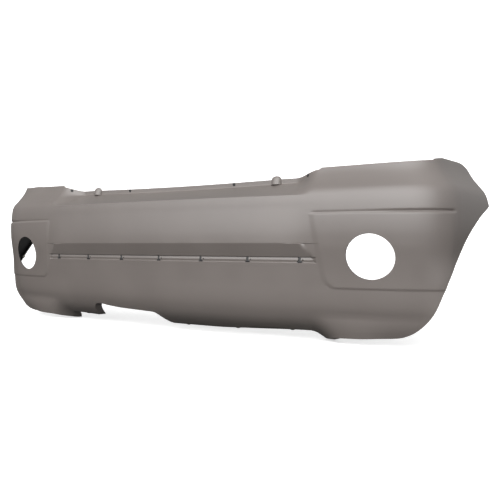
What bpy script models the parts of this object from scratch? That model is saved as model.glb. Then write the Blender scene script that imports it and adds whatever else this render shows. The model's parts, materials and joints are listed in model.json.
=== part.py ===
# Rear bumper cover of a small hatchback: one moulded skin with two lamp holes, a trim-strip
# channel with its clip seats, an exhaust notch, a moulded upper flange, and the small fixings
# that the cover carries when it is delivered.  Metres, +Z up, the outer face looks along -Y.
import math

import bmesh
import bpy
import numpy as np
from mathutils import Matrix, Vector

# ---- overall sizes of the cover
coverWidth = 1.6369
coverDepth = 0.4008
coverHeight = 0.4600
baseWidth = 1.6369                     # sizes that the section tables below are drawn for
baseHeight = 0.4600
wallThickness = 0.0030

# ---- lamp holes
lampCentreX = 0.632
lampCentreZ = 0.219
lampHoleWidth = 0.118
lampHoleHeight = 0.110

# ---- trim-strip channel and its clip seats
clipCount = 7
clipPitch = 0.150
channelOverrun = 0.041
clipCentreZ = 0.2095
clipStemWidth = 0.0054
clipHeight = 0.0140
clipFootWidth = 0.0118
clipFootHeight = 0.0040
clipRearWidth = 0.0160
clipRearHeight = 0.0190
clipRearThickness = 0.0020
peepHoleDiameter = 0.0036
peepHoleOffset = 0.0098

# ---- upper flange
flangeSetback = 0.107
flangeFootZ = 0.4040
flangeTopZ = 0.4190
flangeRise = 0.0035
domeCentreX = 0.339
domeRadius = 0.0150
grommetX = (-0.452, -0.200, 0.200, 0.452)
grommetHoleDiameter = 0.0062
grommetHeadDiameter = 0.0090

# ---- turned-in edges
bottomFlangeDepth = 0.026
archFlangeDepth = 0.020
topFlangeDepth = 0.022

# ---- push rivets in the bottom flange
pushRivetX = (-0.395, 0.035, 0.215, 0.395)
pushRivetHead = 0.0160
pushRivetShank = 0.0078
pushRivetBore = 0.0046
pushRivetInset = 0.0135
pinTravel = 0.0060

# ---- side brackets under the wing tops
bracketThickness = 0.0025
bracketLength = 0.080
bracketDrop = 0.034
bracketRivetPitch = 0.048
bracketRivetShank = 0.0040

# ---- spring nuts on the wheel-arch flange
springNutWidth = 0.0120
springNutReach = 0.0100
springNutSheet = 0.0010
springNutHole = 0.0050
springNutStations = (0.862, 0.975)

# ---- fits
gap = 0.0003
runningGap = 0.0004

# ---- plan curve of the outer face, before it is scaled to the overall sizes
planBow = 1 / 4.6
cornerStart = 0.335
cornerEnd = 0.894
cornerTurn = math.radians(76.0)
cornerSharpness = 4.0
wingEnd = 1.103
faceForward = -0.016
creaseZ = 0.372
cornerFullness = 0.60


def ease(low, high, value):
    t = np.clip((value - low) / (high - low), 0.0, 1.0)
    return t * t * (3 - 2 * t)


def planCurve(steps=2400):
    # heading grows slowly along the face and turns through the corner; the curve is its integral
    s = np.linspace(0, 1.2, steps)
    u = np.clip((s - cornerStart) / (cornerEnd - cornerStart), 0, 1) ** cornerSharpness
    psi = planBow * s + cornerTurn * u * u * (3 - 2 * u)
    ds = s[1] - s[0]
    x = np.concatenate([[0], np.cumsum((np.cos(psi[1:]) + np.cos(psi[:-1])) / 2) * ds])
    y = np.concatenate([[0], np.cumsum((np.sin(psi[1:]) + np.sin(psi[:-1])) / 2) * ds])
    return s, x, y + faceForward, psi


planS, planX, planY, planPsi = planCurve()
wingTipY = float(np.interp(wingEnd, planS, planY))
# the finished face lies this far inside the plan curve at its widest and rearmost places
sideInset = 0.0036
rearInset = -0.0008
scaleX = coverWidth / 2 / (float(planX[planS <= wingEnd].max()) - sideInset)
scaleY = coverDepth / (wingTipY - faceForward - rearInset)
scaleZ = coverHeight / baseHeight
middleY = (wingTipY + faceForward + rearInset) / 2

# side section: height of a point and how far it lies inside the plan curve
sectionShape = np.array([
    (0.000, 0.132), (0.016, 0.098), (0.031, 0.072), (0.049, 0.050), (0.071, 0.036),
    (0.093, 0.0275), (0.122, 0.0225), (0.149, 0.0195), (0.181, 0.0155), (0.216, 0.0105),
    (0.250, 0.0055), (0.284, 0.0028), (0.304, 0.0024), (0.330, 0.0028), (0.355, 0.0042),
    (0.372, 0.0070), (0.385, 0.0125), (0.399, 0.0240), (0.4155, 0.037), (0.430, 0.0465),
    (0.444, 0.053), (0.462, 0.059)])


def smoothCurve(points, value):
    # smooth curve through the points, slopes limited so that it never overshoots
    xs, ys = points[:, 0], points[:, 1]
    h = np.diff(xs)
    d = np.diff(ys) / h
    m = np.zeros(len(xs))
    same = d[:-1] * d[1:] > 0
    w1 = 2 * h[1:] + h[:-1]
    w2 = h[1:] + 2 * h[:-1]
    before = np.where(same, d[:-1], 1.0)
    after = np.where(same, d[1:], 1.0)
    m[1:-1] = same * (w1 + w2) / (w1 / before + w2 / after)
    m[0], m[-1] = d[0], d[-1]
    i = np.clip(np.searchsorted(xs, value) - 1, 0, len(h) - 1)
    t = np.clip((value - xs[i]) / h[i], 0.0, 1.0)
    a = ys[i] * (1 + 2 * t) * (1 - t) ** 2 + m[i] * h[i] * t * (1 - t) ** 2
    return a + ys[i + 1] * t * t * (3 - 2 * t) - m[i + 1] * h[i] * t * t * (1 - t)


def sectionInset(z):
    return smoothCurve(sectionShape, z)


def planStation(x):
    # place along the plan curve of a finished distance from the centre line
    return np.sign(x) * np.interp(abs(x) / scaleX, planX[planS <= wingEnd], planS[planS <= wingEnd])


def place(s, z, inset):
    # finished position of plan station s, height z, inset inwards from the plan curve
    a = np.abs(s)
    psi = np.interp(a, planS, planPsi)
    x = np.interp(a, planS, planX) - np.sin(psi) * inset
    y = np.interp(a, planS, planY) + np.cos(psi) * inset
    return np.stack([np.sign(s) * x * scaleX, (y - middleY) * scaleY, z * scaleZ + 0 * s], -1)


def fullness(a, z):
    # share of the section's inset that is left at the low corner ahead of the wheel
    return 1 - cornerFullness * ease(0.750, 0.835, a) * (1 - ease(0.15, 0.25, z))


# lower edge: a low centre strip, a step down to the corner lip, then the wheel arch up to the tip
lowerEdge = np.array([(0.0, 0.0160), (0.15, 0.0160), (0.27, 0.0205), (0.455, 0.0265), (0.466, 0.0235),
                      (0.480, 0.0150), (0.492, 0.0085), (0.505, 0.0110), (0.520, 0.0135),
                      (0.540, 0.0165), (0.604, 0.0178), (0.642, 0.0190), (0.682, 0.0210),
                      (0.703, 0.0230), (0.726, 0.0290), (0.749, 0.0390), (0.771, 0.0540),
                      (0.784, 0.0670), (0.796, 0.0850), (0.805, 0.1040), (0.821, 0.1410),
                      (0.830, 0.1610), (0.849, 0.1870), (0.893, 0.2340), (0.917, 0.2580),
                      (0.953, 0.2830), (1.000, 0.3080), (1.031, 0.3220), (1.073, 0.3370),
                      (1.103, 0.3480)])
# how far the lower lip tucks in, relative to the side section, along the plan curve
tuckAlong = np.array([(0.0, 1.0), (0.468, 1.0), (0.480, 0.88), (0.492, 0.72), (0.505, 0.55), (0.520, 0.40),
                      (0.544, 0.26), (0.584, 0.22), (0.604, 0.22), (0.642, 0.28), (0.682, 0.36),
                      (0.703, 0.38), (0.749, 0.40), (0.771, 0.58), (0.800, 0.85), (0.850, 1.0)])
# turned-in lower edge along the plan curve: its depth, and how far its inner edge lies lower
lowerHem = np.array([(0.0, bottomFlangeDepth, 0.0), (0.458, bottomFlangeDepth, 0.0), (0.468, 0.027, 0.004),
                     (0.480, 0.034, 0.0100), (0.492, 0.046, 0.0085), (0.505, 0.061, 0.0104),
                     (0.520, 0.066, 0.0090), (0.544, 0.050, 0.0050), (0.584, 0.032, 0.0010),
                     (0.610, bottomFlangeDepth, 0.0), (0.760, archFlangeDepth, 0.0)])
# exhaust notch in the left half, from the centre outwards
notchEdge = np.array([(0.010, 0.0161), (0.020, 0.0185), (0.030, 0.0330), (0.040, 0.0470),
                      (0.052, 0.0510), (0.185, 0.0565), (0.235, 0.0610), (0.265, 0.0655),
                      (0.283, 0.0660), (0.296, 0.0610), (0.304, 0.0530), (0.311, 0.0420),
                      (0.320, 0.0310), (0.333, 0.0205)])
upperEdge = np.array([(0.460, 0.4370), (0.486, 0.4390), (0.4925, 0.4440), (0.700, 0.4475),
                      (0.800, 0.4505), (0.870, 0.4545), (0.898, 0.4600), (1.022, 0.4600),
                      (1.043, 0.4585), (1.062, 0.4540), (1.079, 0.4475),
                      (1.086, 0.4380), (1.089, 0.4150), (1.0905, 0.3900), (1.0935, 0.3700),
                      (1.098, 0.3590), (1.103, 0.3495)])


def bottomZ(s):
    a = np.abs(s)
    edge = smoothCurve(lowerEdge, a)
    cut = np.interp(a, notchEdge[:, 0], notchEdge[:, 1], left=0.0, right=0.0)
    return np.where((s < 0) & (cut > edge), cut, edge)


def topZ(s):
    return np.interp(np.abs(s), upperEdge[:, 0], upperEdge[:, 1])


channelEnd = float(planStation((clipCount // 2) * clipPitch + channelOverrun))


def bandInset(a, z):
    # the face above the band stands a little forward, the band slopes back to the channel
    facet = channelEnd - 0.036 + np.clip((0.25 - z) / 0.048, 0, 1) * 0.035
    above = 1 - ease(0.40, 0.52, a)
    inside = 1 - ease(facet - 0.005, facet + 0.005, a)
    weight = np.where(z > 0.251, above, inside)
    depth = np.interp(z, [0.165, 0.2015, 0.2175, 0.2500, 0.2520, 0.3400],
                      [0.0, 0.0005, 0.0032, -0.0055, -0.0060, 0.0])
    groove = np.interp(z, [0.2015, 0.2030, 0.2095, 0.2160, 0.2175], [0, 0.0048, 0.0026, 0.0038, 0])
    return weight * depth + (1 - ease(channelEnd - 0.006, channelEnd, a)) * groove


def panelInset(a, z):
    # corner panel round the lamp: stands proud, with a groove along its upper edge
    start = 0.488 + (0.327 - z) / 0.18 * 0.030
    rise = ease(start - 0.003, start + 0.003, a) * ease(0.1375, 0.1445, z) * (1 - ease(0.322, 0.327, z))
    rise = rise * (1 - ease(0.838, 0.862, a))
    groove = np.interp(z, [0.322, 0.327, 0.332], [0, 1, 0])
    run = ease(0.485, 0.500, a) * (1 - ease(0.838, 0.850, a))
    return -0.0022 * rise + groove * run * (0.0008 + 0.0022 * ease(0.60, 0.80, a))


def faceInset(s, z):
    a = np.abs(s)
    knee = 0.071
    tuck = np.interp(a, tuckAlong[:, 0], tuckAlong[:, 1])
    low = sectionInset(np.minimum(z, knee)) - sectionInset(np.array([knee]))[0]
    inset = (sectionInset(np.maximum(z, knee)) + tuck * low) * fullness(a, z)
    return inset + bandInset(a, z) + panelInset(a, z)


faceLevels = np.array([0.0, 0.038, 0.062, 0.095, 0.1375, 0.1445, 0.175, 0.2015, 0.2030, 0.2095, 0.2160,
                       0.2175, 0.2500, 0.2525, 0.3220, 0.3270, 0.3320, 0.3520])
ledgeSteps = np.array([0.0, 0.25, 0.60, 0.96, 1.0, 1.0, 1.0])
sideSteps = np.array([0.0, 0.25, 0.55, 0.84, 0.88, 0.94, 1.0])


def upperRows(s):
    # above the crease: sloped ledge and upright flange in the middle, leaning wall at the sides
    a = np.abs(s)[None, :]
    t = sideSteps[:, None]
    z = creaseZ + (topZ(s) - creaseZ)[None, :] * t
    lean = 1 + 0.2 * (1 - ease(0.50, 0.75, a)) * ease(0.0, 0.5, t)
    side = place(s[None, :] + 0 * t, z, sectionInset(z) * lean)
    x = side[..., 0]
    creaseInset = float(sectionInset(np.array(creaseZ)))
    start = place(s[None, :] + 0 * t, creaseZ + 0 * z, creaseInset + 0 * z)
    footY = (faceForward + flangeSetback - middleY) * scaleY
    u = ledgeSteps[:, None]
    tall = flangeTopZ - flangeFootZ
    high = np.array([0, 0, 0, 0, 0, tall / 2, tall])[:, None] + u * flangeRise * np.minimum(a / 0.35, 1) ** 2
    midY = start[..., 1] + (footY - start[..., 1]) * u
    midZ = (creaseZ + (flangeFootZ - creaseZ) * u + high) * scaleZ
    bump = np.clip(1 - ((np.abs(start[..., 0]) - domeCentreX * scaleX) / domeRadius) ** 2, 0, 1) ** 0.5
    push = np.array([0, 0, 0, 0, 1.0, 0.9, 0.0])[:, None] * bump
    lift = np.array([0, 0, 0, 0, 0.0, 1.0, 1.0])[:, None] * bump
    midY = midY - 0.8 * domeRadius * push
    midZ = midZ + 0.60 * domeRadius * lift
    w = ease(0.40, 0.487, a) + 0 * t
    out = np.stack([start[..., 0] * (1 - w) + x * w, midY * (1 - w) + side[..., 1] * w,
                    midZ * (1 - w) + side[..., 2] * w], -1)
    low = np.maximum(bottomZ(s), 0)[None, :] * scaleZ
    out[..., 2] = np.maximum(out[..., 2], low)
    return out


def skinPoints(s):
    # one column of points per plan station: turned-in lower edge, face, upper part, turned-in top
    low, top = bottomZ(s), topZ(s)
    z = np.maximum(faceLevels[:, None] + 0 * s[None, :], low[None, :])
    z = np.minimum(z, top[None, :])
    face = place(s[None, :] + 0 * z, z, faceInset(s[None, :] + 0 * z, z))
    wingLow = place(s, low, faceInset(s, low))
    face[0] = wingLow
    upper = upperRows(s)
    clipped = top < creaseZ
    upper[:, clipped] = place(s[clipped], top[clipped], faceInset(s[clipped], top[clipped]))[None]
    rising = (low > creaseZ)
    upper[:, rising] = wingLow[None, rising]
    return face, upper


def inwardDirection(s):
    # across the car at the wings, along it in the middle
    a = np.abs(s)
    psi = np.interp(a, planS, planPsi)
    psi = psi + (math.pi / 2 - psi) * ease(0.70, 0.78, a)
    return np.stack([-np.sign(s) * np.sin(psi), np.cos(psi), 0 * a], -1)


def edgeDepths(s):
    a = np.abs(s)
    bottom = np.interp(a, lowerHem[:, 0], lowerHem[:, 1]) * (1 - 0.9 * ease(1.03, 1.07, a))
    drop = np.interp(a, lowerHem[:, 0], lowerHem[:, 2])
    top = topFlangeDepth * ease(0.888, 0.902, a) * (1 - ease(1.010, 1.024, a))
    return bottom, drop, top


def nutSpan(station):
    # the two plan stations between which the arch edge is straight under a spring nut
    near = np.array([station - 0.004, station + 0.004])
    y = place(near, bottomZ(near), faceInset(near, bottomZ(near)))[:, 1]
    run = float(np.hypot(np.diff(y), np.diff(bottomZ(near)))[0]) / 0.008
    reach = (springNutWidth / 2 + 0.0015) / run
    return [station - reach, station + reach]


def stations():
    # plan stations, closer together where the cover bends or changes
    half = np.concatenate([
        np.linspace(0, 0.30, 5), domeCentreX + np.linspace(-1.1, 1.1, 7) * domeRadius,
        [0.395, 0.425, 0.455, 0.466, 0.473, 0.480, 0.486, 0.492, 0.4985, 0.505, 0.5125, 0.520],
        [0.560, 0.606, 0.653, 0.700, 0.726, 0.749, 0.771, 0.784, 0.796, 0.808, 0.821, 0.834],
        [0.849, 0.870, 0.888, 0.902, 0.930, 0.960, 1.010, 1.024, 1.043, 1.062, 1.079, 1.086],
        [1.0895, 1.0935, 1.098, wingEnd]])
    for station in springNutStations:
        first, last = nutSpan(station)
        half = half[(half < first - 0.003) | (half > last + 0.003)]
        half = np.sort(np.concatenate([half, [first, last]]))
    left = np.concatenate([half, notchEdge[:, 0], [0.3350]])
    left = np.unique(np.round(left, 6))
    keep = np.concatenate([[True], np.diff(left) > 0.0013])
    left = left[keep]
    return np.concatenate([-left[::-1], half[1:]])


def gridObject(name, rows):
    count, width = rows.shape[0], rows.shape[1]
    index = np.arange(count * width).reshape(count, width)
    quads = np.stack([index[:-1, :-1], index[:-1, 1:], index[1:, 1:], index[1:, :-1]], -1).reshape(-1, 4)
    mesh = bpy.data.meshes.new(name)
    mesh.from_pydata(rows.reshape(-1, 3).tolist(), [], quads.tolist())
    ob = bpy.data.objects.new(name, mesh)
    partsCollection.objects.link(ob)
    cleanMesh(ob, 0.0002)
    return ob


def cleanMesh(ob, distance):
    bm = bmesh.new()
    bm.from_mesh(ob.data)
    bmesh.ops.remove_doubles(bm, verts=bm.verts, dist=distance)
    bmesh.ops.dissolve_degenerate(bm, edges=bm.edges, dist=distance / 4)
    bm.to_mesh(ob.data)
    bm.free()


def startScene():
    for ob in list(bpy.data.objects):
        bpy.data.objects.remove(ob, do_unlink=True)
    parts = bpy.data.collections.new("bumper_cover")
    cutters = bpy.data.collections.new("cutters")
    bpy.context.scene.collection.children.link(parts)
    bpy.context.scene.collection.children.link(cutters)
    return parts, cutters


def material(name, colour, roughness, metallic=0.0):
    mat = bpy.data.materials.new(name)
    mat.use_nodes = True
    node = mat.node_tree.nodes["Principled BSDF"]
    node.inputs["Base Color"].default_value = (*colour, 1)
    node.inputs["Roughness"].default_value = roughness
    node.inputs["Metallic"].default_value = metallic
    return mat


def dress(ob, colour, roughness, metallic=0.0):
    ob.data.materials.clear()
    ob.data.materials.append(material(ob.name, colour, roughness, metallic))


def asCutter(ob):
    for collection in list(ob.users_collection):
        collection.objects.unlink(ob)
    cutterCollection.objects.link(ob)
    ob.hide_render = True
    ob.display_type = 'WIRE'


def boolean(target, other, operation):
    mod = target.modifiers.new(operation.lower(), 'BOOLEAN')
    mod.operation = operation
    mod.solver = 'EXACT'
    mod.object = other


def prism(name, outline, depth, frame, collection=None):
    # outline in the frame's first two axes, thickness along its third
    mesh = bpy.data.meshes.new(name)
    n = len(outline)
    points = [(x, y, 0.0) for x, y in outline] + [(x, y, depth) for x, y in outline]
    faces = [tuple(range(n - 1, -1, -1)), tuple(range(n, 2 * n))]
    faces += [(i, (i + 1) % n, (i + 1) % n + n, i + n) for i in range(n)]
    mesh.from_pydata(points, [], faces)
    mesh.transform(frame)
    if frame.determinant() < 0:
        mesh.flip_normals()
    ob = bpy.data.objects.new(name, mesh)
    (collection or partsCollection).objects.link(ob)
    return ob


def rectangle(width, height, centre=(0.0, 0.0)):
    x, y = centre
    return [(x - width / 2, y - height / 2), (x + width / 2, y - height / 2),
            (x + width / 2, y + height / 2), (x - width / 2, y + height / 2)]


def oval(width, height, sides):
    turn = 2 * math.pi / sides
    return [(width / 2 * math.cos((i + 0.5) * turn), height / 2 * math.sin((i + 0.5) * turn))
            for i in range(sides)]


def turned(name, profile, sides, frame, closedRing=False):
    # profile of (radius, height) turned about the frame's third axis
    n = len(profile)
    mesh = bpy.data.meshes.new(name)
    points, faces = [], []
    for k in range(sides):
        angle = 2 * math.pi * (k + 0.5) / sides
        points += [(r * math.cos(angle), r * math.sin(angle), h) for r, h in profile]
    for k in range(sides):
        a, b = k * n, ((k + 1) % sides) * n
        last = n if closedRing else n - 1
        for i in range(last):
            j = (i + 1) % n
            faces.append((a + i, b + i, b + j, a + j))
    if not closedRing:
        faces.append(tuple(k * n for k in range(sides - 1, -1, -1)))
        faces.append(tuple(k * n + n - 1 for k in range(sides)))
    mesh.from_pydata(points, [], faces)
    mesh.transform(frame)
    ob = bpy.data.objects.new(name, mesh)
    partsCollection.objects.link(ob)
    return ob


def axesFrame(origin, first, second, third):
    frame = Matrix.Identity(4)
    for column, axis in enumerate((first, second, third)):
        for row in range(3):
            frame[row][column] = axis[row]
    for row in range(3):
        frame[row][3] = origin[row]
    return frame


def faceFrame(x, z):
    # frame on the outer face: across, up, and inwards, at a finished x and height
    s = float(planStation(x))
    psi = float(np.interp(abs(s), planS, planPsi)) * (1 if s >= 0 else -1)
    inset = float(faceInset(np.array([s]), np.array([z]))[0])
    point = place(np.array([s]), np.array([z]), np.array([inset]))[0]
    point[0] = x
    return axesFrame(point, (math.cos(psi), math.sin(psi), 0), (0, 0, 1), (-math.sin(psi), math.cos(psi), 0))


def shifted(frame, x, y, z):
    return frame @ Matrix.Translation((x, y, z))


def tubeTurn(frame):
    # turns a frame so that its third axis stays and the first two are kept right-handed
    return frame @ Matrix.Scale(-1, 4, (1, 0, 0)) if frame.determinant() < 0 else frame


def skinWallCut(skin, ob):
    asCutter(ob)
    boolean(skin, ob, 'DIFFERENCE')


def joinMeshes(name, obs):
    # several separate closed bodies in one object
    target = obs[0]
    bm = bmesh.new()
    for ob in obs:
        bm.from_mesh(ob.data)
    bm.to_mesh(target.data)
    bm.free()
    target.name = name
    target.data.name = name
    for ob in obs[1:]:
        bpy.data.objects.remove(ob, do_unlink=True)
    return target


def buildSkin():
    s = stations()
    face, upper = skinPoints(s)
    bottomDepth, bottomDrop, topDepth = edgeDepths(s)
    inward = inwardDirection(s)
    hem = face[0] + inward * bottomDepth[:, None] - np.array([0, 0, 1]) * bottomDrop[:, None]
    brow = upper[-1] + inward * topDepth[:, None]
    skin = gridObject("bumper_skin", np.concatenate([hem[None], face, upper, brow[None]]))
    solid = skin.modifiers.new("wall", 'SOLIDIFY')
    solid.thickness = wallThickness
    solid.offset = -1
    solid.use_even_offset = False
    return skin


def cutLampHoles(skin):
    cutters = []
    for side in (-1, 1):
        centre = place(planStation(side * lampCentreX) + np.zeros(1), np.zeros(1) + lampCentreZ, np.zeros(1))[0]
        start = axesFrame((side * lampCentreX, centre[1] - 0.05, lampCentreZ * scaleZ),
                          (1, 0, 0), (0, 0, 1), (0, 1, 0))
        cutters.append(prism("lamp_cut", oval(lampHoleWidth, lampHoleHeight, 32), 0.13, start))
    skinWallCut(skin, joinMeshes("lamp_cutters", cutters))


def clipStations():
    half = clipCount // 2
    return [clipPitch * (i - half) for i in range(clipCount)]


def clipSlot(spare):
    stem = rectangle(clipStemWidth + 2 * spare, clipHeight + 2 * spare)
    footY = -clipHeight / 2 + clipFootHeight / 2
    foot = rectangle(clipFootWidth + 2 * spare, clipFootHeight + 2 * spare, (0, footY))
    # one outline: the stem with the wider foot at its lower end
    w, f = stem[1][0], foot[1][0]
    low, high, step = stem[0][1], stem[2][1], foot[2][1]
    return [(-f, low), (f, low), (f, step), (w, step), (w, high), (-w, high), (-w, step), (-f, step)]


def cutClipSlots(skin):
    cutters = []
    for x in clipStations():
        frame = faceFrame(x, clipCentreZ)
        cutters.append(prism("slot", clipSlot(gap), 0.016, shifted(frame, 0, 0, -0.008)))
        hole = oval(peepHoleDiameter, peepHoleDiameter, 10)
        hole = [(px + peepHoleOffset, py) for px, py in hole]
        cutters.append(prism("hole", hole, 0.016, shifted(frame, 0, 0, -0.008)))
    skinWallCut(skin, joinMeshes("slot_cutters", cutters))


def buildClips():
    # each seat fills its slot from behind and rests on the back of the wall with a wide plate
    front = 0.0006
    for i, x in enumerate(clipStations()):
        frame = faceFrame(x, clipCentreZ)
        reach = wallThickness + 0.0034
        body = prism(f"trim_clip_{i + 1}", clipSlot(0), reach + clipRearThickness / 2 - front,
                     shifted(frame, 0, 0, front))
        rear = prism("rear", rectangle(clipRearWidth, clipRearHeight), clipRearThickness,
                     shifted(frame, 0, 0, reach))
        asCutter(rear)
        boolean(body, rear, 'UNION')
        dress(body, (0.02, 0.02, 0.022), 0.5)


def flangeFrame(x):
    # frame on the front of the upper flange: across, up, inwards
    s = np.array([float(planStation(x)) - 0.004, float(planStation(x)) + 0.004])
    rows = upperRows(s)[[4, 6]]
    centre = rows.mean(axis=(0, 1))
    across = Vector((rows[:, 1] - rows[:, 0]).mean(axis=0)).normalized()
    up = Vector((rows[1] - rows[0]).mean(axis=0)).normalized()
    inward = across.cross(up).normalized() * -1
    up = inward.cross(across) * -1
    if inward.y < 0:
        inward = -inward
    return axesFrame(centre, across, up, inward)


def cutGrommetHoles(skin):
    cutters = []
    for x in grommetX:
        hole = oval(grommetHoleDiameter, grommetHoleDiameter, 12)
        cutters.append(prism("hole", hole, 0.02, shifted(flangeFrame(x), 0, 0, -0.01)))
    skinWallCut(skin, joinMeshes("grommet_cutters", cutters))


def buildGrommets():
    # a thin head on the front, a shank through the wall and a wider barb behind it
    shank = grommetHoleDiameter / 2 - gap
    head = grommetHeadDiameter / 2
    back = wallThickness + 2 * gap
    profile = [(0.0018, -0.0012 - gap), (head, -0.0012 - gap), (head, -gap), (shank, -gap), (shank, back),
               (head - 0.0006, back), (head - 0.0016, back + 0.004), (0.0018, back + 0.004)]
    for i, x in enumerate(grommetX):
        ob = turned(f"flange_grommet_{i + 1}", profile, 12, tubeTurn(flangeFrame(x)), closedRing=True)
        fixNormals(ob)
        dress(ob, (0.02, 0.02, 0.022), 0.5)


def fixNormals(ob):
    bm = bmesh.new()
    bm.from_mesh(ob.data)
    bmesh.ops.recalc_face_normals(bm, faces=bm.faces)
    bm.to_mesh(ob.data)
    bm.free()


def hemFrame(x):
    # upright frame on the underside of the bottom flange
    s = float(planStation(x))
    stationsHere = np.array([s])
    face, upper = skinPoints(stationsHere)
    point = face[0][0] + inwardDirection(stationsHere)[0] * pushRivetInset
    return Matrix.Translation(point)


def pushRivetPlaces():
    # the rivets keep their places beside the notch and the steps when the cover is wider
    return [x * coverWidth / baseWidth for x in pushRivetX]


def cutPushRivetHoles(skin):
    cutters = []
    for x in pushRivetPlaces():
        hole = oval(pushRivetShank + 2 * gap, pushRivetShank + 2 * gap, 16)
        cutters.append(prism("hole", hole, 0.012, shifted(hemFrame(x), 0, 0, -0.004)))
    skinWallCut(skin, joinMeshes("rivet_cutters", cutters))


def buildPushRivets():
    # body: head under the flange, shank through it, barb above, bored for the pin
    bore = pushRivetBore / 2
    shank = pushRivetShank / 2
    head = pushRivetHead / 2
    clear = 2 * gap
    above = wallThickness + clear
    thick = 0.0018
    for i, x in enumerate(pushRivetPlaces()):
        frame = hemFrame(x)
        profile = [(bore, -clear - thick), (head, -clear - thick), (head, -clear), (shank, -clear),
                   (shank, above), (shank + 0.0008, above + 0.0012), (shank - 0.0008, above + 0.006),
                   (bore, above + 0.006)]
        body = turned(f"push_rivet_{i + 1}", profile, 16, frame, closedRing=True)
        fixNormals(body)
        dress(body, (0.02, 0.02, 0.022), 0.5)
        buildPin(i, frame, clear + thick, above)


def buildPin(i, frame, below, above):
    # the pin drops out of the body: its origin lies on the joint axis under its head
    stem = pushRivetBore / 2 - runningGap
    top = below + gap + above + 0.004
    profile = [(0.0046, -0.0012), (0.0046, 0.0), (stem, 0.0), (stem, top), (stem - 0.0006, top + 0.001)]
    pin = turned(f"rivet_pin_{i + 1}", profile, 16, Matrix.Identity(4))
    fixNormals(pin)
    pin.matrix_world = frame @ Matrix.Translation((0, 0, -below - gap))
    dress(pin, (0.03, 0.03, 0.032), 0.45)


def bracketPlace():
    # middle of the turned-in top edge of the right wing: x of its outer edge, y, height
    s = np.array([0.958])
    point = upperRows(s)[-1][0]
    return Vector(point)


def bracketRivetSpots(side):
    edge = bracketPlace()
    x = (edge.x - topFlangeDepth * 0.55) * side
    return [Vector((x, edge.y + k * bracketRivetPitch, edge.z)) for k in (-0.5, 0.5)]


def cutBracketHoles(skin):
    cutters = []
    for side in (-1, 1):
        for spot in bracketRivetSpots(side):
            hole = oval(bracketRivetShank + 2 * gap, bracketRivetShank + 2 * gap, 12)
            cutters.append(prism("hole", hole, 0.02, Matrix.Translation(spot + Vector((0, 0, -0.012)))))
    ob = joinMeshes("bracket_cutters", cutters)
    skinWallCut(skin, ob)
    return ob


def buildBrackets(cutter):
    # angle strip under the turned-in top edge with its leg hanging inboard
    edge = bracketPlace()
    top = edge.z - wallThickness - 2 * gap
    for side, name in ((-1, "left"), (1, "right")):
        outer = edge.x - 0.0085
        inner = edge.x - topFlangeDepth - 0.006
        t = bracketThickness
        outline = [(outer, top), (inner, top), (inner, top - bracketDrop), (inner + t, top - bracketDrop),
                   (inner + t, top - t), (outer, top - t)]
        frame = axesFrame((0, edge.y - bracketLength / 2, 0), (side, 0, 0), (0, 0, 1), (0, 1, 0))
        ob = prism(f"arch_bracket_{name}", outline, bracketLength, frame)
        fixNormals(ob)
        boolean(ob, cutter, 'DIFFERENCE')
        dress(ob, (0.025, 0.025, 0.027), 0.55)


def buildBracketRivets():
    # blind rivets through wall and bracket: head on top, formed bulb underneath
    shank = bracketRivetShank / 2
    stack = wallThickness + bracketThickness + 2 * gap
    profile = [(0.0012, 0.0016 + gap), (0.0032, 0.0010 + gap), (0.0040, gap), (shank, gap),
               (shank, -stack - gap), (0.0032, -stack - gap), (0.0028, -stack - 0.0035)]
    for side, name in ((-1, "left"), (1, "right")):
        for spot, end in zip(bracketRivetSpots(side), ("rear", "front")):
            ob = turned(f"bracket_rivet_{end}_{name}", profile, 12, Matrix.Translation(spot))
            fixNormals(ob)
            dress(ob, (0.55, 0.55, 0.56), 0.4, 1.0)


def archFrame(side, station):
    # frame on the wheel-arch edge: inboard, outwards from the wheel, and along the edge
    face, upper = skinPoints(np.array(nutSpan(station)))
    point = face[0].mean(axis=0)
    along = face[0][1] - face[0][0]
    along = Vector((0, along[1], along[2])).normalized()
    away = Vector((0, -along.z, along.y))
    return axesFrame((side * point[0], point[1], point[2]), (-side, 0, 0), away, along)


def cutSpringNutHoles(skin):
    cutters = []
    for side in (-1, 1):
        for station in springNutStations:
            frame = archFrame(side, station)
            across = frame @ Matrix.Rotation(-math.pi / 2, 4, 'X')
            across = shifted(across, archFlangeDepth - 0.0075, 0, -0.006)
            cutters.append(prism("hole", oval(springNutHole, springNutHole, 12), 0.016, across))
    for ob in cutters:
        fixNormals(ob)
    ob = joinMeshes("nut_cutters", cutters)
    skinWallCut(skin, ob)
    return ob


def buildSpringNuts(cutter):
    # folded sheet that slides over the turned-in arch edge from its inboard side
    t = springNutSheet
    clear = 2 * gap
    low, high = -clear, wallThickness + clear
    end = archFlangeDepth + 0.0012
    start = end - springNutReach
    outline = [(start, low - t), (end + t, low - t), (end + t, high + t), (start, high + t),
               (start, high), (end, high), (end, low), (start, low)]
    for side, name in ((-1, "left"), (1, "right")):
        for station, level in zip(springNutStations, ("lower", "upper")):
            frame = shifted(archFrame(side, station), 0, 0, -springNutWidth / 2)
            ob = prism(f"spring_nut_{level}_{name}", outline, springNutWidth, frame)
            fixNormals(ob)
            boolean(ob, cutter, 'DIFFERENCE')
            dress(ob, (0.35, 0.35, 0.36), 0.35, 1.0)


partsCollection, cutterCollection = startScene()
bumperSkin = buildSkin()
cutLampHoles(bumperSkin)
cutClipSlots(bumperSkin)
cutGrommetHoles(bumperSkin)
cutPushRivetHoles(bumperSkin)
bracketCutter = cutBracketHoles(bumperSkin)
nutCutter = cutSpringNutHoles(bumperSkin)
dress(bumperSkin, (0.26, 0.235, 0.22), 0.55)
buildClips()
buildGrommets()
buildPushRivets()
buildBrackets(bracketCutter)
buildBracketRivets()
buildSpringNuts(nutCutter)
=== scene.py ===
import json
import math

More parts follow.
